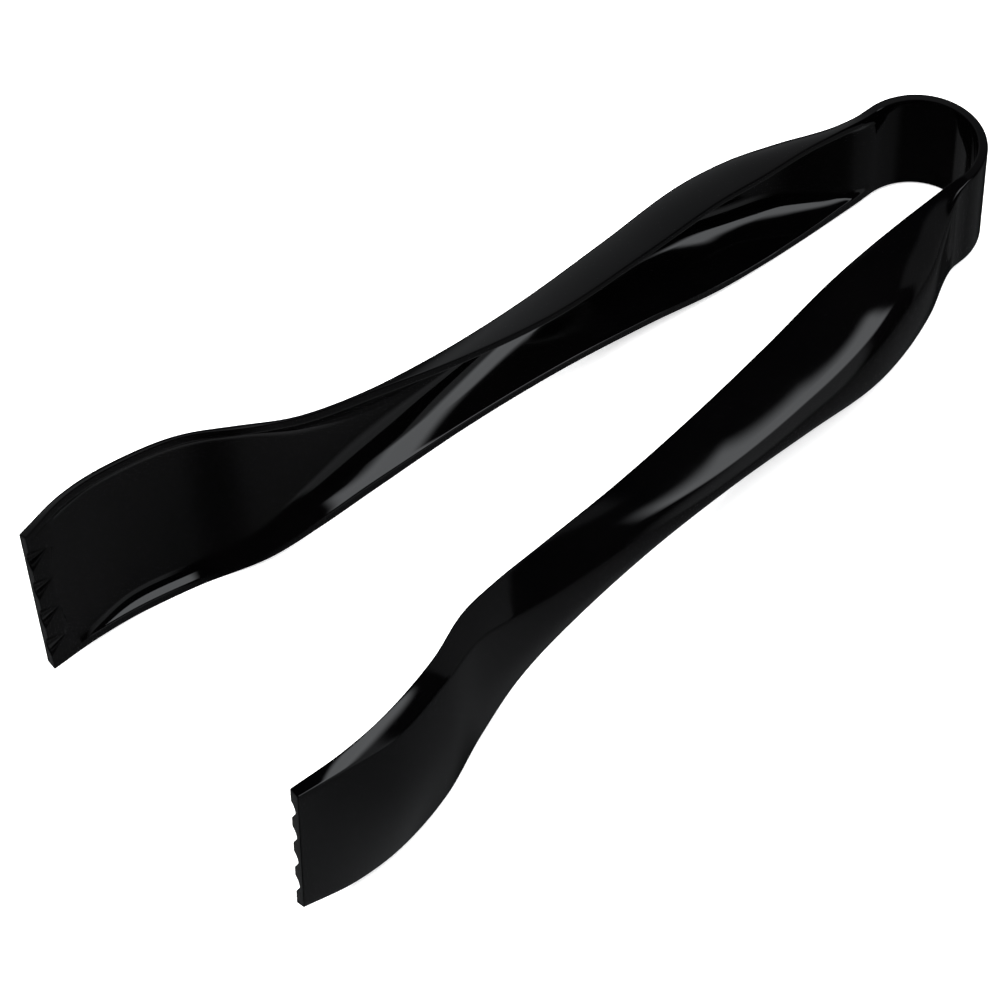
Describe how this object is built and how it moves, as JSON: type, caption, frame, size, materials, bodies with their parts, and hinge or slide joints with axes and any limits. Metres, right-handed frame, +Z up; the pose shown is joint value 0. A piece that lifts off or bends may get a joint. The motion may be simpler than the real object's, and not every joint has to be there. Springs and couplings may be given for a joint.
{
  "type": "serving tongs",
  "caption": "One-piece moulded serving tongs: a springy U-shaped bow, two channel-section arms and flared spoon-like jaws with scalloped tips.",
  "frame": {"origin": "centre of the bounding box's underside, level with the lower edges of the jaws", "axes": "+X from the jaws to the spring bow, +Y across to the right arm as the holder sees it, +Z up along the width of the bow strip"},
  "size_m": [0.229, 0.0926, 0.0484],
  "materials": {
    "black_plastic": "high gloss moulded polystyrene, black"
  },
  "bodies": {
    "bow": {"bow_crown": "black_plastic"},
    "left_arm": {"left_bow_leg": "black_plastic", "left_grip": "black_plastic", "left_shank": "black_plastic", "left_jaw": "black_plastic", "left_tooth_strip": "black_plastic"},
    "right_arm": {"right_bow_leg": "black_plastic", "right_grip": "black_plastic", "right_shank": "black_plastic", "right_jaw": "black_plastic", "right_tooth_strip": "black_plastic"}
  },
  "joints": [
    {"name": "squeeze_left", "type": "hinge", "parent": "bow", "child": "left_arm", "pos_m": [0.10898, -0.00968, 0.0242], "axis": [0, 0, -1], "range_deg": [-3, 9.9], "stiffness_Nm_per_rad": 3.2},
    {"name": "squeeze_right", "type": "hinge", "parent": "bow", "child": "right_arm", "pos_m": [0.10898, 0.00968, 0.0242], "axis": [0, 0, 1], "range_deg": [-3, 9.9], "stiffness_Nm_per_rad": 3.2}
  ],
  "couplings": [
    {"joint": "squeeze_right", "follows": "squeeze_left", "ratio": 1}
  ]
}
